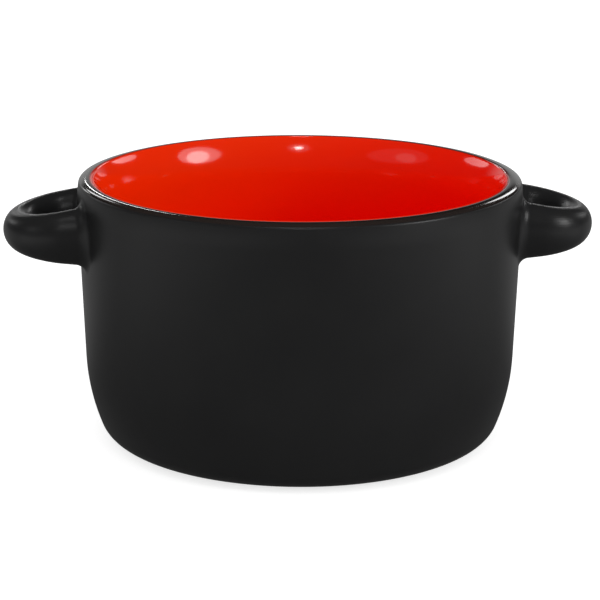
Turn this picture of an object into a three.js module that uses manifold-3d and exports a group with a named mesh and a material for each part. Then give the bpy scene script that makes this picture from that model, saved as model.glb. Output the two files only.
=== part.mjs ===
// A two-handled soup bowl in glazed stoneware, in millimetres with +Z up. The origin is the middle of
// the foot on the table, and the handles lie along X. The bowl and its two loop handles are fired clay,
// the handles are luted to the wall with slip, and glaze coats cover all but the foot.
import * as THREE from "three";
import { mergeVertices } from "three/addons/utils/BufferGeometryUtils.js";
import Module from "manifold-3d";

const wasm = await Module();
wasm.setup();

const DEGREE = Math.PI / 180;
const DOWN = -90 * DEGREE;
const UP = 90 * DEGREE;

// Bowl, measured on the finished glazed surface
const RIM_RADIUS = 60;
const BOWL_HEIGHT = 71.5; // table to the top of the lip
const WALL_THICKNESS = 7;
const WALL_TAPER = 2 * DEGREE; // the wall leans in towards the foot
const HEEL_RADIUS = 55; // broad arc that turns the wall in above the foot
const HEEL_TURN = 21.3 * DEGREE; // lean of the wall where the heel arc ends
const CORNER_RADIUS = 6.2; // tight arc from the heel to the underside
const LIP_THICKNESS = 4.6;
const LIP_OUTER_ROUND = 2.8;
const LIP_INNER_ROUND = 1;
const LIP_FLARE = 27; // broad arc that opens the inside out to the lip
const FLOOR_THICKNESS = 5;
const INNER_CORNER_RADIUS = 12; // inside, between wall and floor

// Foot ring, left bare, and the hollow inside it
const FOOT_DROP = 0.8; // the foot stands this far below the underside
const FOOT_INSET = 1.8; // from the corner arc in to the foot
const FOOT_WIDTH = 4;
const FOOT_EDGE = 0.3; // softened edges
const HOLLOW_DEPTH = 2; // from the table up to the glazed hollow

// Glaze coats
const GLAZE = 0.4; // thickness
const GLAZE_STOP = 0.6; // wiped back this far from the foot
const BAND_LOW = 12 * DEGREE; // the gloss band starts here on the lip's outer round
const BAND_HIGH = 135 * DEGREE; // and ends here on its inner round

// Loop handles, measured on the finished glazed surface
const HANDLE_REACH = 19.6; // beyond the rim
const HANDLE_SPAN = 35.7; // across the loop, outside to outside
const LEG_RUN = 3.4; // the legs run straight this far beyond the rim
const STRAP_THICKNESS = 8.8;
const STRAP_HEIGHT = 10.5; // at the end of the loop
const ROOT_HEIGHT = 14.8; // at the wall
const HANDLE_BELOW_LIP = 0.3; // from the lip's outer round down to the root's fillet
const HANDLE_DROOP = 0.4; // the end of the loop hangs lower than its roots

// Luted joints
const FILLET = 2.7; // slip worked smooth around each root
const SLIP_FILM = 0.4; // slip between root and wall
const SEAT_GAP = 0.3; // kept between the slip and what is around it

// Steps of the round forms
const TURN_STEPS = 48; // about the upright axis
const CORNER_STEPS = 4;
const HEEL_STEPS = 5;
const LIP_STEPS = 4;
const LIP_EDGE_STEPS = 2;
const FLARE_STEPS = 3;
const INNER_CORNER_STEPS = 6;
const SECTION_STEPS = 16; // round the strap
const BEND_STEPS = 12; // along the loop
const FILLET_STEPS = 4;

// Section of the bowl
const lean = Math.tan(WALL_TAPER);
const wallRadius = (z) => RIM_RADIUS - lean * (BOWL_HEIGHT - z);
const innerRadius = (z) => wallRadius(z) - WALL_THICKNESS / Math.cos(WALL_TAPER);
const heelTop =
  FOOT_DROP +
  HEEL_RADIUS * (Math.sin(HEEL_TURN) - Math.sin(WALL_TAPER)) +
  CORNER_RADIUS * (1 - Math.sin(HEEL_TURN));
const floorTop = HOLLOW_DEPTH + FLOOR_THICKNESS;

const point = (r, z) => new THREE.Vector2(r, z);
const heelCentre = point(
  wallRadius(heelTop) - HEEL_RADIUS * Math.cos(WALL_TAPER),
  heelTop + HEEL_RADIUS * Math.sin(WALL_TAPER),
);
const cornerCentre = point(
  heelCentre.x + (HEEL_RADIUS - CORNER_RADIUS) * Math.cos(HEEL_TURN),
  FOOT_DROP + CORNER_RADIUS,
);
const lipOuterCentre = point(
  RIM_RADIUS - (LIP_OUTER_ROUND * (1 + Math.sin(WALL_TAPER))) / Math.cos(WALL_TAPER),
  BOWL_HEIGHT - LIP_OUTER_ROUND,
);
const lipInnerCentre = point(
  RIM_RADIUS - (LIP_THICKNESS - LIP_INNER_ROUND * (1 - Math.sin(WALL_TAPER))) / Math.cos(WALL_TAPER),
  BOWL_HEIGHT - LIP_INNER_ROUND,
);
const lipSetback = (lipInnerCentre.x - innerRadius(lipInnerCentre.y)) * Math.cos(WALL_TAPER);
const flareTurn = // lean of the inside where the flare meets the lip
  WALL_TAPER + Math.acos((LIP_FLARE - lipSetback) / (LIP_FLARE - LIP_INNER_ROUND));
const flareCentre = point(
  lipInnerCentre.x + (LIP_FLARE - LIP_INNER_ROUND) * Math.cos(flareTurn),
  lipInnerCentre.y - (LIP_FLARE - LIP_INNER_ROUND) * Math.sin(flareTurn),
);
const innerCornerCentre = point(
  innerRadius(floorTop + INNER_CORNER_RADIUS) - INNER_CORNER_RADIUS / Math.cos(WALL_TAPER),
  floorTop + INNER_CORNER_RADIUS,
);
const footOuter = cornerCentre.x - FOOT_INSET;
const footInner = footOuter - FOOT_WIDTH;

// Points of an arc; angles count from the outward horizontal.
function arc(centre, radius, from, to, steps) {
  return Array.from({ length: steps + 1 }, (_, i) => {
    const angle = THREE.MathUtils.lerp(from, to, i / steps);
    return point(centre.x + radius * Math.cos(angle), centre.y + radius * Math.sin(angle));
  });
}

// The section's stretches run from the axis under the bowl, out, up over the lip and back in to the axis.
// A depth of 0 is the finished surface, and the glaze's thickness is the clay under it.
function hollow(depth) {
  const side = footInner + depth;
  const top = HOLLOW_DEPTH + depth;
  return [point(0, top), point(side, top), point(side, FOOT_EDGE + GLAZE_STOP)];
}

function foot() {
  const inner = footInner + GLAZE;
  return [
    point(inner, FOOT_EDGE),
    point(inner + FOOT_EDGE, 0),
    point(footOuter - FOOT_EDGE, 0),
    point(footOuter, FOOT_EDGE),
    point(footOuter, FOOT_DROP + GLAZE),
  ];
}

function outside(depth) {
  return [
    point(footOuter + GLAZE_STOP, FOOT_DROP + depth),
    ...arc(cornerCentre, CORNER_RADIUS - depth, DOWN, -HEEL_TURN, CORNER_STEPS),
    ...arc(heelCentre, HEEL_RADIUS - depth, -HEEL_TURN, -WALL_TAPER, HEEL_STEPS).slice(1),
    ...arc(lipOuterCentre, LIP_OUTER_ROUND - depth, -WALL_TAPER, BAND_LOW, 1),
  ];
}

function lip(depth) {
  return [
    ...arc(lipOuterCentre, LIP_OUTER_ROUND - depth, BAND_LOW, UP, LIP_STEPS),
    ...arc(lipInnerCentre, LIP_INNER_ROUND - depth, UP, BAND_HIGH, LIP_EDGE_STEPS),
  ];
}

function inside(depth) {
  return [
    ...arc(lipInnerCentre, LIP_INNER_ROUND - depth, BAND_HIGH, 2 * UP - flareTurn, 1),
    ...arc(flareCentre, LIP_FLARE - depth, 2 * UP - flareTurn, 2 * UP - WALL_TAPER, FLARE_STEPS).slice(1),
    ...arc(innerCornerCentre, INNER_CORNER_RADIUS + depth, -WALL_TAPER, DOWN, INNER_CORNER_STEPS),
    point(0, floorTop - depth),
  ];
}

// A solid turned about the upright axis.
function turned(profile) {
  return new THREE.LatheGeometry(profile, TURN_STEPS).rotateX(UP);
}

function bowl() {
  return turned([
    ...hollow(GLAZE),
    ...foot(),
    ...outside(GLAZE),
    ...lip(GLAZE).slice(1),
    ...inside(GLAZE).slice(1),
  ]);
}

// A glaze coat fills one stretch between the finished surface and the clay.
function coat(stretch) {
  const face = stretch(0);
  const back = stretch(GLAZE).toReversed();
  if (face.at(0).x === 0) return turned([...face, ...back]);
  if (face.at(-1).x === 0) return turned([...back, ...face]);
  return turned([...face, ...back, face[0]]);
}

// Handle, with its loop in the horizontal plane and its legs along X
const rootMiddle =
  BOWL_HEIGHT - LIP_OUTER_ROUND - HANDLE_BELOW_LIP - FILLET - ROOT_HEIGHT / 2;
const legOffset = (HANDLE_SPAN - STRAP_THICKNESS) / 2;
const bendStart = RIM_RADIUS + LEG_RUN;
const bendReach = HANDLE_REACH - LEG_RUN - STRAP_THICKNESS / 2;
const sectionAngles = Array.from({ length: SECTION_STEPS }, (_, i) => (i / SECTION_STEPS) * 2 * Math.PI);
const wallAt = (y, z) => Math.sqrt(wallRadius(z) ** 2 - y ** 2);

// A ring round one leg that follows the curve of the wall. Side is -1 or 1, standoff is counted from
// the finished wall and grow from the finished strap.
function rootRing(side, standoff, grow) {
  return sectionAngles.map((angle) => {
    const y = side * (legOffset + (STRAP_THICKNESS / 2 + grow) * Math.cos(angle));
    const z = rootMiddle + (ROOT_HEIGHT / 2 + grow) * Math.sin(angle);
    return new THREE.Vector3(wallAt(y, z) + standoff, y, z);
  });
}

// A ring square to the loop's bend, which is half an oval. The strap gets lower towards the end.
function bendRing(turn, grow) {
  const square = point(Math.cos(turn) / bendReach, Math.sin(turn) / legOffset).normalize();
  const x = bendStart + bendReach * Math.cos(turn);
  const y = legOffset * Math.sin(turn);
  const rootX = wallAt(legOffset, rootMiddle) + FILLET;
  const share = (x - rootX) / (bendStart + bendReach - rootX);
  const halfHeight = THREE.MathUtils.lerp(ROOT_HEIGHT, STRAP_HEIGHT, share) / 2 + grow;
  const middle = rootMiddle - HANDLE_DROOP * share;
  return sectionAngles.map((angle) => {
    const across = (STRAP_THICKNESS / 2 + grow) * Math.cos(angle);
    return new THREE.Vector3(
      x + square.x * across,
      y + square.y * across,
      middle + halfHeight * Math.sin(angle),
    );
  });
}

// The strap from fillet to fillet.
function strapRings(grow) {
  const bend = Array.from({ length: BEND_STEPS + 1 }, (_, i) =>
    bendRing(THREE.MathUtils.lerp(DOWN, UP, i / BEND_STEPS), grow),
  );
  return [rootRing(-1, FILLET, grow), ...bend, rootRing(1, FILLET, grow)];
}

// Two triangles over four corners, split along the shorter diagonal, so that pieces that share the
// corners fit face to face.
function patch(points, a, b, c, d) {
  const acrossAC = points[a].distanceTo(points[c]);
  const acrossBD = points[b].distanceTo(points[d]);
  return acrossAC < acrossBD ? [a, d, c, a, c, b] : [a, d, b, b, d, c];
}

// One closed skin through rings of points. The two ends are capped, or joined to each other.
function loft(rings, joined = false) {
  const points = rings.flat();
  const faces = [];
  const spans = joined ? rings.length : rings.length - 1;
  for (let i = 0; i < spans; i++) {
    const near = i * SECTION_STEPS;
    const far = ((i + 1) % rings.length) * SECTION_STEPS;
    for (let j = 0; j < SECTION_STEPS; j++) {
      const k = (j + 1) % SECTION_STEPS;
      faces.push(...patch(points, near + j, near + k, far + k, far + j));
    }
  }
  if (!joined) {
    const last = (rings.length - 1) * SECTION_STEPS;
    const hubs = [rings[0], rings.at(-1)].map((ring) =>
      ring.reduce((sum, p) => sum.add(p), new THREE.Vector3()).divideScalar(SECTION_STEPS),
    );
    const firstHub = points.push(...hubs) - hubs.length;
    for (let j = 0; j < SECTION_STEPS; j++) {
      const k = (j + 1) % SECTION_STEPS;
      faces.push(firstHub, j, k, firstHub + 1, last + k, last + j);
    }
  }
  return new THREE.BufferGeometry().setFromPoints(points).setIndex(faces);
}

// A solid on one leg; the far leg's rings run the other way round.
function rootLoft(side, rings) {
  return loft(side < 0 ? rings : rings.map((ring) => ring.toReversed()));
}

const slipBack = SEAT_GAP - GLAZE; // the slip's face towards the clay wall
const rootEnd = slipBack + SLIP_FILM;

function handle() {
  return loft([rootRing(-1, rootEnd, -GLAZE), ...strapRings(-GLAZE), rootRing(1, rootEnd, -GLAZE)]);
}

function handleCoat() {
  return loft([...strapRings(0), ...strapRings(-GLAZE).toReversed()], true);
}

// Slip at one root: a film under the root and a hollow fillet that sweeps from the wall to the strap.
function slipJoint(side) {
  const sweep = Array.from({ length: FILLET_STEPS + 1 }, (_, i) => {
    const turn = (i / FILLET_STEPS) * UP;
    return rootRing(side, FILLET * (1 - Math.cos(turn)), FILLET * (1 - Math.sin(turn)));
  });
  return rootLoft(side, [
    rootRing(side, slipBack, FILLET),
    ...sweep,
    rootRing(side, FILLET, -GLAZE),
    rootRing(side, rootEnd, -GLAZE),
  ]);
}

// The room that a slip joint takes up in the outer coat.
function rootRoom(side) {
  const grow = FILLET + SEAT_GAP;
  return rootLoft(side, [rootRing(side, -2 * GLAZE, grow), rootRing(side, 2 * GLAZE, grow)]);
}

function solid(geometry) {
  const bare = geometry.clone();
  bare.deleteAttribute("normal");
  bare.deleteAttribute("uv");
  const merged = mergeVertices(bare);
  return new wasm.Manifold(
    new wasm.Mesh({
      numProp: 3,
      vertProperties: merged.attributes.position.array,
      triVerts: new Uint32Array(merged.index.array),
    }),
  );
}

function geometryOf(body) {
  const mesh = body.getMesh();
  return new THREE.BufferGeometry()
    .setAttribute("position", new THREE.BufferAttribute(mesh.vertProperties, mesh.numProp))
    .setIndex(new THREE.BufferAttribute(mesh.triVerts, 1));
}

// The outer coat stops at the four handle roots.
function outerCoat() {
  const rooms = [-1, 1].flatMap((side) => [rootRoom(side), rootRoom(side).rotateZ(Math.PI)]);
  return geometryOf(rooms.reduce((body, room) => body.subtract(solid(room)), solid(coat(outside))));
}

// Finishes
const stoneware = { color: "#cfc4b2", roughness: 0.9 };
const matteBlack = { color: "#1f1f1f", roughness: 0.55 };
const glossBlack = { color: "#171717", roughness: 0.12 };
const glossRed = { color: "#d81d03", roughness: 0.12 };

function piece(name, geometry, finish) {
  geometry.computeVertexNormals();
  const mesh = new THREE.Mesh(geometry, new THREE.MeshStandardMaterial({ ...finish, metalness: 0 }));
  mesh.name = name;
  return mesh;
}

function handleGroup(name, nearEnd, farEnd) {
  const group = new THREE.Group();
  group.add(
    piece(`${name}_handle`, handle(), stoneware),
    piece(`${name}_handle_glaze`, handleCoat(), matteBlack),
    piece(`${name}_${nearEnd}_slip_joint`, slipJoint(-1), matteBlack),
    piece(`${name}_${farEnd}_slip_joint`, slipJoint(1), matteBlack),
  );
  return group;
}

const soupBowl = new THREE.Group();
soupBowl.add(
  piece("bowl_body", bowl(), stoneware),
  piece("inner_glaze", coat(inside), glossRed),
  piece("rim_glaze", coat(lip), glossBlack),
  piece("outer_glaze", outerCoat(), matteBlack),
  piece("base_glaze", coat(hollow), matteBlack),
);
const leftHandle = handleGroup("left", "back", "front");
leftHandle.rotation.z = Math.PI;
soupBowl.add(leftHandle, handleGroup("right", "front", "back"));

export default soupBowl;
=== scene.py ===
"""Looks of a two-handled soup bowl: glazed stoneware, matte black outside, gloss red inside.

The file is laid out as an add-on and is run as a script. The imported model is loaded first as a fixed
frame, every piece is modelled in that frame in metres, and the stage is set around it.
"""
import math
from collections import namedtuple

import bpy
from bpy.props import FloatProperty, FloatVectorProperty, IntProperty, PointerProperty
from mathutils import Matrix, Vector


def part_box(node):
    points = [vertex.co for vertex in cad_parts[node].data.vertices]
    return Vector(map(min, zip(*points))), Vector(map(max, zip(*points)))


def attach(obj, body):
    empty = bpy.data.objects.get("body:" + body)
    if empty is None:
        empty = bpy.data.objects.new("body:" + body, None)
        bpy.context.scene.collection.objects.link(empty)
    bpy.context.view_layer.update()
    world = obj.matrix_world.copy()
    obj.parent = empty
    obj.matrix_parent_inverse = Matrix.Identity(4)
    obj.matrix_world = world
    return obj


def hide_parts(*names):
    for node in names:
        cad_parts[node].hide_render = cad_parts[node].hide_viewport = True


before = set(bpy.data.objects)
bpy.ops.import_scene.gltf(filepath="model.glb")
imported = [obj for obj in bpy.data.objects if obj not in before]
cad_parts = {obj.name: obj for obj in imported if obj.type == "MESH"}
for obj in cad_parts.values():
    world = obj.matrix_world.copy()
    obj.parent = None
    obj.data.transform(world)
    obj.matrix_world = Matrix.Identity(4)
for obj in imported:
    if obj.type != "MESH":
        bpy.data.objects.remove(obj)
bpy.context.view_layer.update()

bl_info = {
    "name": "Soup Bowl",
    "version": (1, 0, 0),
    "blender": (4, 5, 0),
    "location": "3D View > Sidebar > Soup Bowl",
    "description": "Models a glazed two-handled soup bowl piece by piece and sets a plain stage for it",
    "category": "Add Mesh",
}

MM = 0.001
DEGREE = math.pi / 180
QUARTER_TURN = 90 * DEGREE
BODY = "root"
MERGE = 0.001 * MM  # points this close are one
SMOOTH_ANGLE = 40 * DEGREE  # sharper edges stay sharp
IMAGE_WIDTH = 600  # pixels of the square picture

LIP_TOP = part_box("rim_glaze")[1].z
LOOP_LOW, LOOP_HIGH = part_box("right_handle_glaze")


def linear(hex_colour):
    """Linear RGB of an sRGB hex colour."""
    parts = [int(hex_colour[i:i + 2], 16) / 255 for i in (1, 3, 5)]
    return tuple(c / 12.92 if c <= 0.04045 else ((c + 0.055) / 1.055) ** 2.4 for c in parts)


def length(name, default, description):
    """Property for a length in metres."""
    return FloatProperty(name=name, description=description, default=default, unit="LENGTH", precision=5)


def angle(name, default, description):
    """Property for an angle in radians."""
    return FloatProperty(name=name, description=description, default=default, unit="ROTATION")


def colour(name, default, description):
    """Property for a colour that is given as sRGB hex."""
    return FloatVectorProperty(
        name=name, description=description, default=linear(default), subtype="COLOR", min=0, max=1
    )


class SoupBowlSizes(bpy.types.PropertyGroup):
    """Sizes of the bowl and its handles, on the finished glazed surface."""

    rim_radius: length("Rim radius", 60 * MM, "Outer wall carried up to the lip")
    height: length("Height", LIP_TOP, "Table to the top of the lip")
    wall: length("Wall", 7 * MM, "Thickness of the wall")
    taper: angle("Taper", 2 * DEGREE, "Lean of the wall towards the foot")
    heel_radius: length("Heel radius", 55 * MM, "Broad arc that turns the wall in above the foot")
    heel_turn: angle("Heel turn", 21.3 * DEGREE, "Lean of the wall where the heel arc ends")
    corner_radius: length("Corner radius", 6.2 * MM, "Tight arc from the heel to the underside")
    lip: length("Lip", 4.6 * MM, "Thickness across the lip")
    lip_outer_round: length("Lip outer round", 5.4 * MM, "Broad round over the top of the lip")
    lip_edge: length("Lip edge", 1 * MM, "Tight round where the lip turns down into the wall")
    lip_turn: angle("Lip turn", 65 * DEGREE, "Lean of the lip where its two rounds meet")
    shoulder: length("Shoulder", 30 * MM, "Slight curve of the wall below the lip")
    shoulder_turn: angle("Shoulder turn", 9 * DEGREE, "Lean of the wall where the lip's edge starts")
    lip_inner_round: length("Lip inner round", 1 * MM, "Round on the inner edge of the lip")
    lip_flare: length("Lip flare", 27 * MM, "Broad arc that opens the inside out to the lip")
    floor: length("Floor", 5 * MM, "Thickness of the floor")
    inner_corner: length("Inner corner", 12 * MM, "Round between the inside wall and the floor")
    foot_drop: length("Foot drop", 0.8 * MM, "Foot below the underside")
    foot_inset: length("Foot inset", 1.8 * MM, "From the corner arc in to the foot")
    foot_width: length("Foot width", 4 * MM, "Width of the foot ring")
    foot_edge: length("Foot edge", 0.3 * MM, "Softened edges of the bare foot")
    hollow: length("Hollow", 2 * MM, "Depth of the hollow inside the foot")
    hollow_corner: length("Hollow corner", 0.8 * MM, "Round in the corner of the hollow")
    glaze: length("Glaze", 0.4 * MM, "Thickness of a glaze coat")
    glaze_stop: length("Glaze stop", 0.6 * MM, "Glaze wiped back from the foot")
    band_low: angle("Band low", 20 * DEGREE, "Where the lip band starts on the tight round")
    band_high: angle("Band high", 135 * DEGREE, "Where the lip band ends on the inner round")
    loop_end: length("Loop end", LOOP_HIGH.x, "From the bowl's axis to the end of a handle")
    loop_span: length("Loop span", LOOP_HIGH.y - LOOP_LOW.y, "Across a handle, outside to outside")
    leg_run: length("Leg run", 3.4 * MM, "Straight run of the legs beyond the rim")
    strap: length("Strap", 8.8 * MM, "Thickness of the strap")
    strap_height: length("Strap height", 10.5 * MM, "Height of the strap at the end of the loop")
    root_height: length("Root height", 14.8 * MM, "Height of the strap at the wall")
    root_drop: length("Root drop", 13.2 * MM, "From the top of the lip down to the middle of a root")
    droop: length("Droop", 0.4 * MM, "The end of the loop hangs lower than its roots")
    fillet: length("Fillet", 2.7 * MM, "Slip worked smooth around each root")
    turn_steps: IntProperty(name="Turn steps", description="Facets round a turned piece", default=288)


class SoupBowlFinishes(bpy.types.PropertyGroup):
    """Colours of the clay, the glazes and the floor."""

    matte_black: colour("Matte black", "#1b1b1c", "Outside coat")
    matte_black_thin: colour("Matte black, thin", "#202020", "Outside coat where it lies thinner")
    gloss_black: colour("Gloss black", "#241d1a", "Band over the lip")
    gloss_red: colour("Gloss red", "#ed0501", "Lining")
    # Orange red towards the lip and on the left: partly thinner glaze, partly painted light
    gloss_red_thin_and_lit: colour("Gloss red, thin", "#e42a01", "Lining where it lies thinner")
    # Brown at the seam: partly melted glaze, partly a painted reflection of the red lining
    melt_and_reflection: colour("Melt", "#4a0f06", "Where the lining runs into the black of the lip")
    clay: colour("Clay", "#cbbfab", "Bare stoneware of the foot")
    clay_grog: colour("Clay grog", "#8f7f68", "Grains in the bare stoneware")
    paper: colour("Paper", "#bcbcbc", "Floor, before its glow")


class SoupBowlStage(bpy.types.PropertyGroup):
    """Camera and light, counted from the picture's point of view."""

    bearing: angle("Bearing", -0.0773, "Camera's place round the bowl, from straight ahead")
    distance: length("Distance", 550 * MM, "Camera to the bowl's axis along the table")
    eye_height: length("Eye height", 186.37 * MM, "Camera above the table")
    pitch: angle("Pitch", 0.26594, "Camera tipped down")
    roll: angle("Roll", 0.0037, "Camera rolled to the left")
    pan: angle("Pan", 0.00016, "Camera turned to the right")
    focal: FloatProperty(
        name="Focal length", description="In pixels of the picture", default=2087.2, subtype="PIXEL"
    )
    fill: FloatProperty(name="Fill", description="Soft light from all round", default=0.92, min=0)


Arc = namedtuple("Arc", "centre turn steps")


def polar(centre, radius, bearing):
    """Point of the half section at a bearing from the outward horizontal."""
    return Vector((centre.x + radius * math.cos(bearing), centre.y + radius * math.sin(bearing)))


class Section:
    """Half section of the bowl, r outwards and z up, as runs of straight moves and arcs.

    A run's depth is 0 on the finished surface and the glaze's thickness on the clay under it.
    """

    HOLLOW_STEPS = 8
    FOOT_STEPS = 5
    HEEL_STEPS = 24
    SHOULDER_STEPS = 14
    EDGE_STEPS = (3, 8)  # of the lip's tight edge, below and in the band
    LIP_STEPS = 20
    LIP_INNER_STEPS = (14, 8)  # of the lip's inner round, in the band and in the lining
    INSIDE_STEPS = 30

    def __init__(self, s):
        self.s = s
        cos, sin = math.cos(s.taper), math.sin(s.taper)

        def inner_at(z):
            return self.wall_at(z) - s.wall / cos

        heel_top = (
            s.foot_drop
            + s.heel_radius * (math.sin(s.heel_turn) - sin)
            + s.corner_radius * (1 - math.sin(s.heel_turn))
        )
        self.heel = polar(
            Vector((self.wall_at(heel_top), heel_top)), s.heel_radius, math.pi - s.taper
        )
        self.corner = Vector((
            self.heel.x + (s.heel_radius - s.corner_radius) * math.cos(s.heel_turn),
            s.foot_drop + s.corner_radius,
        ))
        broad = s.lip_outer_round - s.lip_edge
        edge_top = s.height - s.lip_outer_round + broad * math.sin(s.lip_turn)
        shoulder_top = edge_top - (s.shoulder - s.lip_edge) * math.sin(s.shoulder_turn)
        self.shoulder = Vector((self.wall_at(shoulder_top) - s.shoulder / cos, shoulder_top))
        self.lip_edge = polar(self.shoulder, s.shoulder - s.lip_edge, s.shoulder_turn)
        self.lip_outer = polar(self.lip_edge, -broad, s.lip_turn)
        self.lip_inner = Vector((
            s.rim_radius - (s.lip - s.lip_inner_round * (1 - sin)) / cos,
            s.height - s.lip_inner_round,
        ))
        if self.lip_outer.x < self.lip_inner.x:
            raise ValueError("the rounds of the lip overlap")
        setback = (self.lip_inner.x - inner_at(self.lip_inner.y)) * cos
        gap = s.lip_flare - s.lip_inner_round
        self.flare_turn = s.taper + math.acos((s.lip_flare - setback) / gap)
        self.flare = polar(self.lip_inner, gap, -self.flare_turn)
        self.floor_top = s.hollow + s.floor
        corner_top = self.floor_top + s.inner_corner
        self.inner_corner = Vector((inner_at(corner_top) - s.inner_corner / cos, corner_top))
        self.foot_outer = self.corner.x - s.foot_inset
        self.foot_inner = self.foot_outer - s.foot_width

    def wall_at(self, z):
        """Radius of the outer wall."""
        return self.s.rim_radius - math.tan(self.s.taper) * (self.s.height - z)

    def hollow(self, depth):
        """Hollow inside the foot, from the axis out to where the glaze is wiped off."""
        s = self.s
        corner = Vector((self.foot_inner - s.hollow_corner, s.hollow - s.hollow_corner))
        return [
            Vector((0, s.hollow + depth)),
            Vector((corner.x, s.hollow + depth)),
            Arc(corner, -QUARTER_TURN, self.HOLLOW_STEPS),
            Vector((self.foot_inner + depth, s.foot_edge + s.glaze_stop)),
        ]

    def foot(self):
        """Bare foot ring, from its inner side round to the underside of the bowl."""
        s = self.s
        inner = self.foot_inner + s.glaze
        return [
            Vector((inner, s.foot_edge)),
            Arc(Vector((inner + s.foot_edge, s.foot_edge)), QUARTER_TURN, self.FOOT_STEPS),
            Vector((self.foot_outer - s.foot_edge, 0)),
            Arc(Vector((self.foot_outer - s.foot_edge, s.foot_edge)), QUARTER_TURN, self.FOOT_STEPS),
            Vector((self.foot_outer, s.foot_drop + s.glaze)),
        ]

    def outside(self, depth):
        """Underside, heel and wall, from the wiped edge up to the lip band."""
        s = self.s
        return [
            Vector((self.foot_outer + s.glaze_stop, s.foot_drop + depth)),
            Vector((self.corner.x, s.foot_drop + depth)),
            Arc(self.corner, QUARTER_TURN - s.heel_turn, self.HEEL_STEPS),
            Arc(self.heel, s.heel_turn - s.taper, self.HEEL_STEPS),
            polar(self.shoulder, s.shoulder - depth, -s.taper),
            Arc(self.shoulder, s.shoulder_turn + s.taper, self.SHOULDER_STEPS),
            Arc(self.lip_edge, s.band_low - s.shoulder_turn, self.EDGE_STEPS[0]),
        ]

    def lip(self, depth):
        """Lip band, from the outer edge over the top to the inner round."""
        s = self.s
        return [
            polar(self.lip_edge, s.lip_edge - depth, s.band_low),
            Arc(self.lip_edge, s.lip_turn - s.band_low, self.EDGE_STEPS[1]),
            Arc(self.lip_outer, QUARTER_TURN - s.lip_turn, self.LIP_STEPS),
            Vector((self.lip_inner.x, s.height - depth)),
            Arc(self.lip_inner, s.band_high - QUARTER_TURN, self.LIP_INNER_STEPS[0]),
        ]

    def inside(self, depth):
        """Lining, from the lip band down to the middle of the floor."""
        s = self.s
        return [
            polar(self.lip_inner, s.lip_inner_round - depth, s.band_high),
            Arc(self.lip_inner, math.pi - self.flare_turn - s.band_high, self.LIP_INNER_STEPS[1]),
            Arc(self.flare, self.flare_turn - s.taper, self.INSIDE_STEPS),
            polar(self.inner_corner, s.inner_corner + depth, -s.taper),
            Arc(self.inner_corner, s.taper - QUARTER_TURN, self.INSIDE_STEPS),
            Vector((0, self.floor_top - depth)),
        ]


def begin(name):
    """Deselects everything and goes into edit mode on a new piece with one vertex at the origin."""
    if bpy.context.object and bpy.context.object.mode != "OBJECT":
        bpy.ops.object.mode_set(mode="OBJECT")
    bpy.ops.object.select_all(action="DESELECT")
    bpy.ops.mesh.primitive_plane_add(size=MM)
    piece = bpy.context.object
    piece.name = piece.data.name = name
    bpy.ops.object.mode_set(mode="EDIT")
    bpy.ops.mesh.select_all(action="SELECT")
    bpy.ops.mesh.merge(type="CENTER")
    return piece


def draw(run):
    """Draws a run from the piece's one vertex: straight moves are extruded, arcs are spun."""
    pen = run[0]
    bpy.ops.transform.translate(value=(pen.x, 0, pen.y))
    for move in run[1:]:
        if isinstance(move, Arc):
            bpy.ops.mesh.spin(
                steps=move.steps, angle=move.turn,
                center=(move.centre.x, 0, move.centre.y), axis=(0, 1, 0),
            )
            pen = move.centre + Matrix.Rotation(move.turn, 2) @ (pen - move.centre)
        else:
            step = move - pen
            bpy.ops.mesh.extrude_vertices_move(
                TRANSFORM_OT_translate={"value": (step.x, 0, step.y)}
            )
            pen = move


def turn(steps):
    """Spins the drawn run about the bowl's axis and closes the seam and the poles."""
    bpy.ops.mesh.select_all(action="SELECT")
    bpy.ops.mesh.spin(steps=steps, angle=2 * math.pi, center=(0, 0, 0), axis=(0, 0, 1))
    bpy.ops.mesh.select_all(action="SELECT")
    bpy.ops.mesh.remove_doubles(threshold=MERGE)
    bpy.ops.mesh.normals_make_consistent(inside=False)


def thicken(piece, thickness):
    """Gives a coat its thickness, behind its finished side."""
    bpy.ops.object.mode_set(mode="OBJECT")
    bpy.ops.object.modifier_add(type="SOLIDIFY")
    coat = piece.modifiers[-1]
    coat.thickness = thickness
    coat.offset = -1
    coat.use_even_offset = True
    bpy.ops.object.modifier_apply(modifier=coat.name)


def complete(piece, material, nodes):
    """Checks that a piece is closed, smooths it, gives it its finish and seats it in the frame."""
    bpy.ops.object.mode_set(mode="EDIT")
    bpy.ops.mesh.select_mode(type="VERT")
    bpy.ops.mesh.select_all(action="DESELECT")
    bpy.ops.mesh.select_non_manifold()
    bpy.ops.object.mode_set(mode="OBJECT")
    if any(v.select for v in piece.data.vertices):
        raise RuntimeError(f"{piece.name} isn't closed")
    bpy.ops.object.shade_smooth_by_angle(angle=SMOOTH_ANGLE)
    piece.data.materials.clear()
    piece.data.materials.append(material)
    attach(piece, BODY)
    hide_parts(*nodes)


def node(tree, kind, inputs=(), **settings):
    """Adds a shader node with its settings, and sets or links its inputs."""
    made = tree.nodes.new(kind)
    for key, value in settings.items():
        setattr(made, key, value)
    for socket, value in dict(inputs).items():
        if isinstance(value, bpy.types.NodeSocket):
            tree.links.new(value, made.inputs[socket])
        else:
            made.inputs[socket].default_value = value
    return made


def new_material(name):
    """An empty material; returns it with its tree and object coordinates."""
    material = bpy.data.materials.new(name)
    material.use_nodes = True
    material.node_tree.nodes.clear()
    tree = material.node_tree
    return material, tree, node(tree, "ShaderNodeTexCoord").outputs["Object"]


def solid_colour(rgb):
    """Colour with full alpha, as a shader's socket takes it."""
    return (*rgb, 1)


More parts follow.
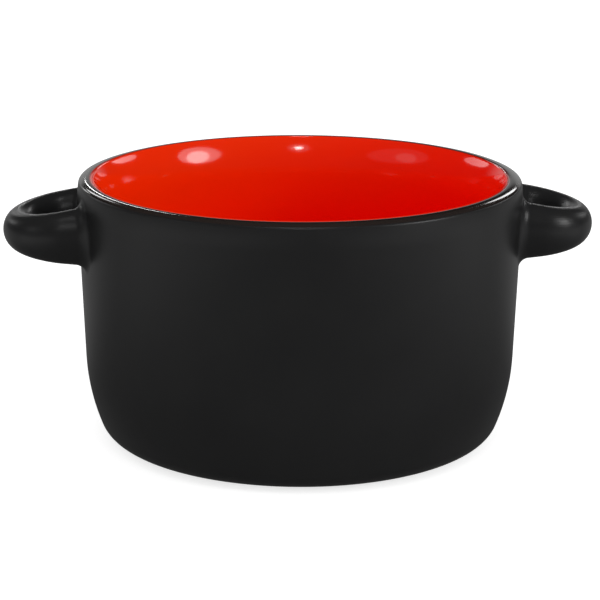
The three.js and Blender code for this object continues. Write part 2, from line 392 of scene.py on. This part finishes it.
def satin_black_stoneware_glaze():
    """Matte stoneware glaze, sprayed and fired: a soft dark satin with a fine grain and faint clouds.

    The real grain is finer, and is drawn at 0.7 mm so that it shows.
    """
    made = bpy.data.materials.get("satin_black_stoneware_glaze")
    if made:
        return made
    cloud_size = 14 * MM
    grain_size = 0.7 * MM
    grain_depth = 0.05 * MM
    smoothest, roughest = 0.31, 0.36
    finish = bpy.context.scene.soup_bowl_finishes
    made, tree, place = new_material("satin_black_stoneware_glaze")
    clouds = node(tree, "ShaderNodeTexNoise", {"Vector": place, "Scale": 1 / cloud_size, "Detail": 3})
    grain = node(tree, "ShaderNodeTexNoise", {"Vector": place, "Scale": 1 / grain_size, "Detail": 2})
    tone = node(tree, "ShaderNodeMix", {
        "Factor": clouds.outputs["Fac"],
        "A": solid_colour(finish.matte_black),
        "B": solid_colour(finish.matte_black_thin),
    }, data_type="RGBA")
    satin = node(tree, "ShaderNodeMapRange", {
        "Value": clouds.outputs["Fac"], "To Min": smoothest, "To Max": roughest,
    })
    skin = node(tree, "ShaderNodeBump", {
        "Height": grain.outputs["Fac"], "Strength": 0.12, "Distance": grain_depth,
    })
    shader = node(tree, "ShaderNodeBsdfPrincipled", {
        "Base Color": tone.outputs[2],
        "Roughness": satin.outputs["Result"],
        "Normal": skin.outputs["Normal"],
        "IOR": 1.45,
    })
    node(tree, "ShaderNodeOutputMaterial", {"Surface": shader.outputs["BSDF"]})
    return made


def run_together(tree, place, red):
    """Colour along the lip, where the red lining runs through brown into the black band. The brown is
    partly the glazes melted together and partly a painted reflection of the red lining in the lip's inner
    edge.

    The seam is a circle that lies a little to the left of the bowl's axis.
    """
    shift_left = 0.25 * MM
    brown_from, brown_to = 55.2 * MM, 56.5 * MM  # radius of the seam
    black_from, black_to = 55.9 * MM, 57 * MM
    finish = bpy.context.scene.soup_bowl_finishes
    flat = node(tree, "ShaderNodeVectorMath", {
        0: place, 1: (1, 1, 0), 2: (shift_left, 0, 0),
    }, operation="MULTIPLY_ADD")
    radius = node(tree, "ShaderNodeVectorMath", {0: flat.outputs["Vector"]}, operation="LENGTH")
    brown = node(tree, "ShaderNodeMapRange", {
        "Value": radius.outputs["Value"], "From Min": brown_from, "From Max": brown_to,
    }, interpolation_type="SMOOTHSTEP")
    black = node(tree, "ShaderNodeMapRange", {
        "Value": radius.outputs["Value"], "From Min": black_from, "From Max": black_to,
    }, interpolation_type="SMOOTHSTEP")
    # Brown band: partly melted glaze, partly a painted reflection of the red lining
    tinged = node(tree, "ShaderNodeMix", {
        "Factor": brown.outputs["Result"], "A": red, "B": solid_colour(finish.melt_and_reflection),
    }, data_type="RGBA")
    return node(tree, "ShaderNodeMix", {
        "Factor": black.outputs["Result"],
        "A": tinged.outputs[2],
        "B": solid_colour(finish.gloss_black),
    }, data_type="RGBA").outputs[2]


def gloss_black_lip_glaze():
    """Gloss glaze over the lip: a wet-looking black that fades to satin down the outer round.

    Along its inner edge it turns brown, partly where the red melted into it and partly as a painted
    reflection of the red lining.
    """
    ripple_size = 6 * MM
    ripple_depth = 0.02 * MM
    satin_below, gloss_above = 70.7 * MM, 70.95 * MM  # above the table
    satin, gloss = 0.34, 0.1
    finish = bpy.context.scene.soup_bowl_finishes
    made, tree, place = new_material("gloss_black_lip_glaze")
    at = node(tree, "ShaderNodeSeparateXYZ", {"Vector": place})
    ripple = node(tree, "ShaderNodeTexNoise", {"Vector": place, "Scale": 1 / ripple_size, "Detail": 1})
    shine = node(tree, "ShaderNodeMapRange", {
        "Value": at.outputs["Z"], "From Min": satin_below, "From Max": gloss_above,
    }, interpolation_type="SMOOTHSTEP")
    sheen = node(tree, "ShaderNodeMapRange", {
        "Value": shine.outputs["Result"], "To Min": satin, "To Max": gloss,
    })
    tone = node(tree, "ShaderNodeMix", {
        "Factor": shine.outputs["Result"],
        "A": solid_colour(finish.matte_black),
        "B": run_together(tree, place, solid_colour(finish.gloss_red_thin_and_lit)),
    }, data_type="RGBA")
    skin = node(tree, "ShaderNodeBump", {
        "Height": ripple.outputs["Fac"], "Strength": 0.2, "Distance": ripple_depth,
    })
    shader = node(tree, "ShaderNodeBsdfPrincipled", {
        "Base Color": tone.outputs[2],
        "Roughness": sheen.outputs["Result"],
        "Normal": skin.outputs["Normal"],
        "IOR": 1.5,
    })
    node(tree, "ShaderNodeOutputMaterial", {"Surface": shader.outputs["BSDF"]})
    return made


def gloss_red_lining_glaze():
    """Gloss lining glaze: a saturated red under glass, more orange towards the lip and on the left.

    Towards the lip the orange is partly glaze lying thinner and partly painted light, where more light
    falls; on the left it is painted light from the lamp on the right.
    """
    cloud_size = 18 * MM
    ripple_size = 9 * MM
    ripple_depth = 0.03 * MM
    painted_light_slope = -0.36  # height per length along X; painted light that makes the left more orange, as if lit more strongly
    wander = 6 * MM
    red_below, orange_above = 42 * MM, 77 * MM  # above the table
    smoothest, roughest = 0.06, 0.1
    finish = bpy.context.scene.soup_bowl_finishes
    made, tree, place = new_material("gloss_red_lining_glaze")
    at = node(tree, "ShaderNodeSeparateXYZ", {"Vector": place})
    clouds = node(tree, "ShaderNodeTexNoise", {"Vector": place, "Scale": 1 / cloud_size, "Detail": 2})
    ripple = node(tree, "ShaderNodeTexNoise", {"Vector": place, "Scale": 1 / ripple_size, "Detail": 1})
    # The orange towards the lip is partly thinner glaze and partly painted light; its lean to the left is
    # painted light only.
    slope = node(tree, "ShaderNodeMath", {
        0: at.outputs["X"], 1: painted_light_slope, 2: at.outputs["Z"],
    }, operation="MULTIPLY_ADD")
    drift = node(tree, "ShaderNodeMath", {
        0: clouds.outputs["Fac"], 1: wander, 2: slope.outputs["Value"],
    }, operation="MULTIPLY_ADD")
    thin = node(tree, "ShaderNodeMapRange", {
        "Value": drift.outputs["Value"], "From Min": red_below, "From Max": orange_above,
    })
    tone = node(tree, "ShaderNodeMix", {
        "Factor": thin.outputs["Result"],
        "A": solid_colour(finish.gloss_red),
        "B": solid_colour(finish.gloss_red_thin_and_lit),
    }, data_type="RGBA")
    sheen = node(tree, "ShaderNodeMapRange", {
        "Value": clouds.outputs["Fac"], "To Min": smoothest, "To Max": roughest,
    })
    skin = node(tree, "ShaderNodeBump", {
        "Height": ripple.outputs["Fac"], "Strength": 0.2, "Distance": ripple_depth,
    })
    shader = node(tree, "ShaderNodeBsdfPrincipled", {
        "Base Color": run_together(tree, place, tone.outputs[2]),
        "Roughness": sheen.outputs["Result"],
        "Normal": skin.outputs["Normal"],
        "IOR": 1.5,
    })
    node(tree, "ShaderNodeOutputMaterial", {"Surface": shader.outputs["BSDF"]})
    return made


def bare_fired_stoneware():
    """Unglazed fired clay, wiped clean: dry, buff and sandy, with darker grains."""
    sand_size = 0.8 * MM
    sand_depth = 0.1 * MM
    grain_start, grain_full = 0.55, 0.72  # of the sand's noise
    finish = bpy.context.scene.soup_bowl_finishes
    made, tree, place = new_material("bare_fired_stoneware")
    sand = node(tree, "ShaderNodeTexNoise", {"Vector": place, "Scale": 1 / sand_size, "Detail": 4})
    grains = node(tree, "ShaderNodeMapRange", {
        "Value": sand.outputs["Fac"], "From Min": grain_start, "From Max": grain_full,
    })
    tone = node(tree, "ShaderNodeMix", {
        "Factor": grains.outputs["Result"],
        "A": solid_colour(finish.clay),
        "B": solid_colour(finish.clay_grog),
    }, data_type="RGBA")
    skin = node(tree, "ShaderNodeBump", {
        "Height": sand.outputs["Fac"], "Strength": 0.5, "Distance": sand_depth,
    })
    shader = node(tree, "ShaderNodeBsdfPrincipled", {
        "Base Color": tone.outputs[2],
        "Roughness": 0.9,
        "Normal": skin.outputs["Normal"],
        "IOR": 1.5,
    })
    node(tree, "ShaderNodeOutputMaterial", {"Surface": shader.outputs["BSDF"]})
    return made


class SOUPBOWL_OT_body(bpy.types.Operator):
    """Turn the clay bowl, of which only the bare foot ring is left showing"""

    bl_idname = "soup_bowl.body"
    bl_label = "Turn Clay Body"

    def execute(self, context):
        s = context.scene.soup_bowl_sizes
        section = Section(s)
        piece = begin("clay_body")
        draw(
            section.hollow(s.glaze) + section.foot() + section.outside(s.glaze)
            + section.lip(s.glaze)[1:] + section.inside(s.glaze)[1:]
        )
        turn(s.turn_steps)
        complete(piece, bare_fired_stoneware(), ["bowl_body"])
        return {"FINISHED"}


class SOUPBOWL_OT_lining(bpy.types.Operator):
    """Turn the gloss lining"""

    bl_idname = "soup_bowl.lining"
    bl_label = "Turn Lining"

    def execute(self, context):
        s = context.scene.soup_bowl_sizes
        piece = begin("red_lining")
        draw(Section(s).inside(0))
        turn(s.turn_steps)
        bpy.ops.mesh.flip_normals()
        thicken(piece, s.glaze)
        complete(piece, gloss_red_lining_glaze(), ["inner_glaze"])
        return {"FINISHED"}


class SOUPBOWL_OT_lip_band(bpy.types.Operator):
    """Turn the gloss band over the lip"""

    bl_idname = "soup_bowl.lip_band"
    bl_label = "Turn Lip Band"

    def execute(self, context):
        s = context.scene.soup_bowl_sizes
        piece = begin("lip_band")
        draw(Section(s).lip(0))
        turn(s.turn_steps)
        thicken(piece, s.glaze)
        complete(piece, gloss_black_lip_glaze(), ["rim_glaze"])
        return {"FINISHED"}


class SOUPBOWL_OT_coats(bpy.types.Operator):
    """Turn the matte coats of the outside and of the hollow inside the foot"""

    bl_idname = "soup_bowl.coats"
    bl_label = "Turn Matte Coats"

    def execute(self, context):
        s = context.scene.soup_bowl_sizes
        section = Section(s)
        for name, run, cad_node in (
            ("outside_coat", section.outside(0), "outer_glaze"),
            ("base_coat", section.hollow(0), "base_glaze"),
        ):
            piece = begin(name)
            draw(run)
            turn(s.turn_steps)
            thicken(piece, s.glaze)
            complete(piece, satin_black_stoneware_glaze(), [cad_node])
        return {"FINISHED"}


class SOUPBOWL_OT_handles(bpy.types.Operator):
    """Pull the strap of one loop handle from root to root, seat it on the wall and copy it"""

    bl_idname = "soup_bowl.handles"
    bl_label = "Pull Handles"

    def execute(self, context):
        s = context.scene.soup_bowl_sizes
        wall = bpy.data.objects.get("outside_coat")
        if wall is None:
            raise RuntimeError("the handles are seated on the outside coat, which isn't there yet")
        strap = Strap(s)
        right = strap.pull("right_handle_loop")
        for group, standoff in strap.standoff.items():
            seat(right, wall, group, standoff)
        left = turned_copy(right, "left_handle_loop")
        for piece, side in ((right, "right"), (left, "left")):
            context.view_layer.objects.active = piece
            complete(piece, satin_black_stoneware_glaze(), [
                f"{side}_handle",
                f"{side}_handle_glaze",
                f"{side}_front_slip_joint",
                f"{side}_back_slip_joint",
            ])
        return {"FINISHED"}


class Strap:
    """A handle's oval strap, drawn ring by ring from the front root round the loop to the back root."""

    ROUND = 64  # points round the strap
    FILLET_STEPS = 10
    BEND_STEPS = 72
    BURIED = 0.1 * MM  # the outermost ring lies this deep in the wall
    SPREAD = 0.6 * MM  # and this far outside the fillet

    def __init__(self, s):
        self.s = s
        self.leg = (s.loop_span - s.strap) / 2
        self.middle = s.height - s.root_drop
        self.bend_start = s.rim_radius + s.leg_run
        self.bend_reach = s.loop_end - s.strap / 2 - self.bend_start
        self.root = math.sqrt(Section(s).wall_at(self.middle) ** 2 - self.leg ** 2) + s.fillet
        self.standoff = {}

    def fillet_rings(self):
        """Name, distance from the wall and growth of each ring of a root's fillet, from the wall out."""
        s = self.s
        rings = [("fillet_edge", -self.BURIED, s.fillet + self.SPREAD)]
        for i in range(self.FILLET_STEPS + 1):
            turned = QUARTER_TURN * i / self.FILLET_STEPS
            rings.append((
                f"fillet_{i}", s.fillet * (1 - math.cos(turned)), s.fillet * (1 - math.sin(turned))
            ))
        return rings

    def bend_rings(self):
        """Centre, direction and height of each ring of the loop, which is half an oval."""
        s = self.s
        for i in range(self.BEND_STEPS + 1):
            turned = math.pi * (i / self.BEND_STEPS - 0.5)
            x = self.bend_start + self.bend_reach * math.cos(turned)
            share = (x - self.root) / (self.bend_start + self.bend_reach - self.root)
            centre = Vector((x, self.leg * math.sin(turned), self.middle - s.droop * share))
            facing = math.atan2(self.bend_reach * math.sin(turned), self.leg * math.cos(turned))
            yield centre, facing, s.root_height + (s.strap_height - s.root_height) * share

    def pull(self, name):
        """Models the strap; each fillet ring, front and back, is a vertex group with its distance kept."""
        s = self.s
        edge, *fillet = self.fillet_rings()
        front = Vector((self.bend_start, -self.leg, self.middle))
        bpy.ops.object.select_all(action="DESELECT")
        bpy.ops.mesh.primitive_circle_add(
            vertices=self.ROUND, radius=s.strap / 2, fill_type="NGON",
            location=front, rotation=(0, QUARTER_TURN, 0),
        )
        piece = bpy.context.object
        piece.name = piece.data.name = name
        bpy.ops.object.transform_apply(location=True, rotation=True, scale=True)
        bpy.ops.object.mode_set(mode="EDIT")
        bpy.ops.mesh.select_all(action="SELECT")
        self.centre, self.facing = front, -QUARTER_TURN
        self.across, self.tall = s.strap, s.strap
        self.place(front, -QUARTER_TURN, s.strap + 2 * edge[2], s.root_height + 2 * edge[2])
        self.mark(piece, edge)
        for ring in fillet:
            self.extrude(front, -QUARTER_TURN, s.strap + 2 * ring[2], s.root_height + 2 * ring[2])
            self.mark(piece, ring)
        for centre, facing, tall in self.bend_rings():
            self.extrude(centre, facing, s.strap, tall)
        back = Vector((self.bend_start, self.leg, self.middle))
        for ring in reversed([edge, *fillet]):
            self.extrude(back, QUARTER_TURN, s.strap + 2 * ring[2], s.root_height + 2 * ring[2])
            self.mark(piece, ring)
        bpy.ops.mesh.select_all(action="SELECT")
        bpy.ops.mesh.normals_make_consistent(inside=False)
        bpy.ops.object.mode_set(mode="OBJECT")
        return piece

    def extrude(self, centre, facing, across, tall):
        """Starts the next ring, which doesn't keep the last one's vertex group."""
        bpy.ops.mesh.extrude_region_move()
        bpy.ops.object.vertex_group_remove_from(use_all_groups=True)
        self.place(centre, facing, across, tall)

    def place(self, centre, facing, across, tall):
        """Moves, sizes and turns the selected ring."""
        bpy.ops.transform.translate(value=centre - self.centre)
        bpy.ops.transform.resize(
            value=(1, across / self.across, tall / self.tall), center_override=centre
        )
        bpy.ops.transform.rotate(
            value=self.facing - facing, orient_axis="Z", center_override=centre
        )
        self.centre, self.facing, self.across, self.tall = centre, facing, across, tall

    def mark(self, piece, ring):
        """Puts the selected ring in the vertex group of its name."""
        name, standoff, _ = ring
        if name in piece.vertex_groups:
            bpy.ops.object.vertex_group_set_active(group=name)
            bpy.ops.object.vertex_group_assign()
        else:
            bpy.ops.object.vertex_group_assign_new()
            piece.vertex_groups.active.name = name
            self.standoff[name] = standoff


def seat(piece, wall, group, standoff):
    """Brings a ring of the strap straight in to its distance from the curved wall."""
    bpy.ops.object.modifier_add(type="SHRINKWRAP")
    fit = piece.modifiers[-1]
    fit.target = wall
    fit.vertex_group = group
    fit.wrap_method = "PROJECT"
    fit.wrap_mode = "ON_SURFACE"
    fit.use_project_x = True
    fit.use_negative_direction = True
    fit.use_positive_direction = False
    fit.offset = standoff
    bpy.ops.object.modifier_apply(modifier=fit.name)


def turned_copy(piece, name):
    """A copy of a piece with a mesh of its own, on the other side of the bowl."""
    bpy.ops.object.duplicate()
    copy = bpy.context.object
    copy.name = copy.data.name = name
    bpy.ops.object.mode_set(mode="EDIT")
    bpy.ops.mesh.select_all(action="SELECT")
    bpy.ops.transform.rotate(value=math.pi, orient_axis="Z", center_override=(0, 0, 0))
    bpy.ops.object.mode_set(mode="OBJECT")
    return copy


Lamp = namedtuple("Lamp", "name azimuth elevation width height radiance lean", defaults=(0,))

# Soft boxes and umbrellas round the bowl: bearing from the camera, with the picture's right as plus,
# height above the table, width and height as seen from the bowl, brightness beside white, and how far
# the top leans to the right as seen from the bowl. All angles are in degrees.
LAMPS = (
    Lamp("front_lamp", 1, 30, 4.4, 4, 22),
    Lamp("front_lamp_halo", 1, 30, 12, 10, 0.6),
    Lamp("high_front_lamp", 0, 61, 10, 7, 8),
    Lamp("right_umbrella", 66, 22, 28, 18, 2.2),
    Lamp("right_umbrella_core", 66.5, 20, 15, 13, 5),
    Lamp("left_scrim", -64, 22, 40, 16, 0.2),
    Lamp("left_scrim_core", -69, 20, 14, 10, 0.5),
    Lamp("right_back_box", 127, 16.5, 24, 6, 2.2, -16),
    Lamp("left_back_box", -127, 15, 24, 6, 1.7, 16),
    Lamp("right_tall_box", 162.6, 21, 4.8, 12, 3.6),
    Lamp("left_tall_box", -161.6, 23, 3.2, 11, 3),
    Lamp("left_low_box", -155, 17, 7, 8, 1.8),
    Lamp("left_back_strip", -170, 19.5, 1.1, 15, 9, 16),
)
LAMP_DISTANCE = 3  # metres
LAMP_AIM = Vector((0, 0, 60 * MM))  # all lamps face this point of the bowl
WHITE_POWER = 4  # watts per square metre of a lamp that shows as white


def compass(azimuth, elevation):
    """Direction from the bowl, with the azimuth counted from straight ahead towards +X."""
    return Vector((
        math.sin(azimuth) * math.cos(elevation),
        -math.cos(azimuth) * math.cos(elevation),
        math.sin(elevation),
    ))


def add_lamp(lamp, bearing):
    """Adds a round or oval lamp that only lights and is mirrored, and isn't seen itself."""
    towards = compass(bearing + lamp.azimuth * DEGREE, lamp.elevation * DEGREE)
    bpy.ops.object.light_add(
        type="AREA", location=LAMP_AIM + towards * LAMP_DISTANCE,
        rotation=(
            towards.to_track_quat("Z", "Y").to_matrix() @ Matrix.Rotation(lamp.lean * DEGREE, 3, "Z")
        ).to_euler(),
    )
    made = bpy.context.object
    made.name = made.data.name = lamp.name
    made.visible_camera = False
    made.data.shape = "ELLIPSE"
    made.data.size = 2 * LAMP_DISTANCE * math.tan(lamp.width * DEGREE / 2)
    made.data.size_y = 2 * LAMP_DISTANCE * math.tan(lamp.height * DEGREE / 2)
    area = math.pi / 4 * made.data.size * made.data.size_y
    made.data.energy = WHITE_POWER * area * lamp.radiance


class SOUPBOWL_OT_stage(bpy.types.Operator):
    """Set the camera, the lamps, the white surround and the pale floor"""

    bl_idname = "soup_bowl.stage"
    bl_label = "Set Stage"

    def execute(self, context):
        s = context.scene.soup_bowl_stage
        bpy.ops.object.select_all(action="DESELECT")
        self.camera(context, s)
        for lamp in LAMPS:
            add_lamp(lamp, s.bearing)
        self.surround(context, s)
        self.floor(context)
        context.scene.view_settings.view_transform = "Standard"
        return {"FINISHED"}

    def camera(self, context, s):
        """Stands the camera where the picture was taken from."""
        place = compass(s.bearing, 0) * s.distance + Vector((0, 0, s.eye_height))
        bpy.ops.object.camera_add(location=place)
        camera = context.object
        turned = (
            Matrix.Rotation(s.bearing - s.pan, 3, "Z")
            @ Matrix.Rotation(QUARTER_TURN - s.pitch, 3, "X")
            @ Matrix.Rotation(s.roll, 3, "Z")
        )
        camera.rotation_euler = turned.to_euler()
        camera.data.sensor_fit = "HORIZONTAL"
        camera.data.lens = camera.data.sensor_width * s.focal / IMAGE_WIDTH
        context.scene.camera = camera

    def surround(self, context, s):
        """White to the eye, even light for matte surfaces, and for gloss a dim room with a lit sweep.

        Where the sweep and the ceiling begin and end is given in the direction's own Y and Z.
        """
        sweep_side, sweep_middle = 0.75, 0.96
        sweep_full, sweep_top = 0.18, 0.26
        sweep_light = 0.5
        ceiling_edge, ceiling_middle = 0.4, 0.7
        wall_light, ceiling_light = 0.015, 0.04
        white = (1, 1, 1, 1)
        world = bpy.data.worlds.new("white_surround")
        world.use_nodes = True
        tree = world.node_tree
        tree.nodes.clear()
        path = node(tree, "ShaderNodeLightPath")
        way = node(tree, "ShaderNodeSeparateXYZ", {
            "Vector": node(tree, "ShaderNodeTexCoord").outputs["Generated"],
        })
        behind = node(tree, "ShaderNodeMapRange", {
            "Value": way.outputs["Y"], "From Min": sweep_side, "From Max": sweep_middle,
        }, interpolation_type="SMOOTHSTEP")
        low = node(tree, "ShaderNodeMapRange", {
            "Value": way.outputs["Z"],
            "From Min": sweep_full, "From Max": sweep_top,
            "To Min": 1, "To Max": 0,
        }, interpolation_type="SMOOTHSTEP")
        sweep = node(tree, "ShaderNodeMath", {
            0: behind.outputs["Result"], 1: low.outputs["Result"],
        }, operation="MULTIPLY")
        ceiling = node(tree, "ShaderNodeMapRange", {
            "Value": way.outputs["Z"],
            "From Min": ceiling_edge, "From Max": ceiling_middle,
            "To Min": wall_light, "To Max": ceiling_light,
        }, interpolation_type="SMOOTHSTEP")
        mirrored = node(tree, "ShaderNodeMath", {
            0: sweep.outputs["Value"], 1: sweep_light, 2: ceiling.outputs["Result"],
        }, operation="MULTIPLY_ADD")
        lit = node(tree, "ShaderNodeMix", {
            "Factor": path.outputs["Is Diffuse Ray"],
            "A": mirrored.outputs["Value"],
            "B": s.fill,
        })
        straight = node(tree, "ShaderNodeMath", {
            0: path.outputs["Is Camera Ray"], 1: path.outputs["Is Transmission Ray"],
        }, operation="MAXIMUM")
        seen = node(tree, "ShaderNodeMix", {
            "Factor": straight.outputs["Value"], "A": lit.outputs[0], "B": 1.0,
        })
        light = node(tree, "ShaderNodeBackground", {"Color": white, "Strength": seen.outputs[0]})
        node(tree, "ShaderNodeOutputWorld", {"Surface": light.outputs["Background"]})
        context.scene.world = world

    def floor(self, context):
        """White paper that keeps the bowl's shadow, and that gloss mirrors as darker in front.

        From below it is clear, so that the foot can be looked at.
        """
        floor_size = 8  # this and the next in metres
        back_from, back_to = 0.02, 0.12  # along Y, behind the bowl
        side_from, side_to = 0.1, 0.3  # along X, on both sides
        front_to, front_from = -0.05, 0.1  # along Y, where the sides fade out
        front_light, back_light, side_light = 0.1, 0.28, 0.42
        paper_glow = 0.74
        bpy.ops.mesh.primitive_plane_add(size=floor_size)
        floor = context.object
        floor.name = floor.data.name = "floor"
        made, tree, place = new_material("white_sweep")
        path = node(tree, "ShaderNodeLightPath")
        depth = node(tree, "ShaderNodeSeparateXYZ", {"Vector": place})
        behind = node(tree, "ShaderNodeMapRange", {
            "Value": depth.outputs["Y"],
            "From Min": back_from, "From Max": back_to,
            "To Min": front_light, "To Max": back_light,
        }, interpolation_type="SMOOTHSTEP")
        aside = node(tree, "ShaderNodeMath", {0: depth.outputs["X"]}, operation="ABSOLUTE")
        beside = node(tree, "ShaderNodeMapRange", {
            "Value": aside.outputs["Value"],
            "From Min": side_from, "From Max": side_to,
            "To Max": side_light,
        }, interpolation_type="SMOOTHSTEP")
        level = node(tree, "ShaderNodeMapRange", {
            "Value": depth.outputs["Y"],
            "From Min": front_to, "From Max": front_from,
            "To Min": 1, "To Max": 0,
        }, interpolation_type="SMOOTHSTEP")
        bright = node(tree, "ShaderNodeMath", {
            0: beside.outputs["Result"], 1: level.outputs["Result"], 2: behind.outputs["Result"],
        }, operation="MULTIPLY_ADD")
        grey = solid_colour(context.scene.soup_bowl_finishes.paper)
        paper = node(tree, "ShaderNodeBsdfDiffuse", {"Color": grey})
        glow = node(tree, "ShaderNodeEmission", {"Strength": paper_glow})
        sheet = node(tree, "ShaderNodeAddShader", {0: paper.outputs[0], 1: glow.outputs[0]})
        mirrored = node(tree, "ShaderNodeEmission", {"Strength": bright.outputs["Value"]})
        lit = node(tree, "ShaderNodeMixShader", {
            "Fac": path.outputs["Is Glossy Ray"], 1: paper.outputs[0], 2: mirrored.outputs[0],
        })
        straight = node(tree, "ShaderNodeMath", {
            0: path.outputs["Is Camera Ray"], 1: path.outputs["Is Transmission Ray"],
        }, operation="MAXIMUM")
        shown = node(tree, "ShaderNodeMixShader", {
            "Fac": straight.outputs["Value"], 1: lit.outputs[0], 2: sheet.outputs[0],
        })
        below = node(tree, "ShaderNodeBsdfTransparent")
        side = node(tree, "ShaderNodeNewGeometry").outputs["Backfacing"]
        surface = node(tree, "ShaderNodeMixShader", {
            "Fac": side, 1: shown.outputs[0], 2: below.outputs[0],
        })
        node(tree, "ShaderNodeOutputMaterial", {"Surface": surface.outputs[0]})
        floor.data.materials.append(made)


class SOUPBOWL_PT_panel(bpy.types.Panel):
    """Steps and sizes of the soup bowl"""

    bl_idname = "SOUPBOWL_PT_panel"
    bl_label = "Soup Bowl"
    bl_space_type = "VIEW_3D"
    bl_region_type = "UI"
    bl_category = "Soup Bowl"

    def draw(self, context):
        for step in STEPS:
            self.layout.operator(step.bl_idname)
        for group in (
            context.scene.soup_bowl_sizes,
            context.scene.soup_bowl_finishes,
            context.scene.soup_bowl_stage,
        ):
            box = self.layout.box()
            for name in group.__annotations__:
                box.prop(group, name)


STEPS = (
    SOUPBOWL_OT_body,
    SOUPBOWL_OT_lining,
    SOUPBOWL_OT_lip_band,
    SOUPBOWL_OT_coats,
    SOUPBOWL_OT_handles,
    SOUPBOWL_OT_stage,
)
CLASSES = (SoupBowlSizes, SoupBowlFinishes, SoupBowlStage, *STEPS, SOUPBOWL_PT_panel)


def register():
    for made in CLASSES:
        bpy.utils.register_class(made)
    bpy.types.Scene.soup_bowl_sizes = PointerProperty(type=SoupBowlSizes)
    bpy.types.Scene.soup_bowl_finishes = PointerProperty(type=SoupBowlFinishes)
    bpy.types.Scene.soup_bowl_stage = PointerProperty(type=SoupBowlStage)


def unregister():
    del bpy.types.Scene.soup_bowl_stage
    del bpy.types.Scene.soup_bowl_finishes
    del bpy.types.Scene.soup_bowl_sizes
    for made in reversed(CLASSES):
        bpy.utils.unregister_class(made)


def main():
    register()
    bpy.ops.soup_bowl.body()
    bpy.ops.soup_bowl.lining()
    bpy.ops.soup_bowl.lip_band()
    bpy.ops.soup_bowl.coats()
    bpy.ops.soup_bowl.handles()
    bpy.ops.soup_bowl.stage()


if __name__ == "__main__":
    main()
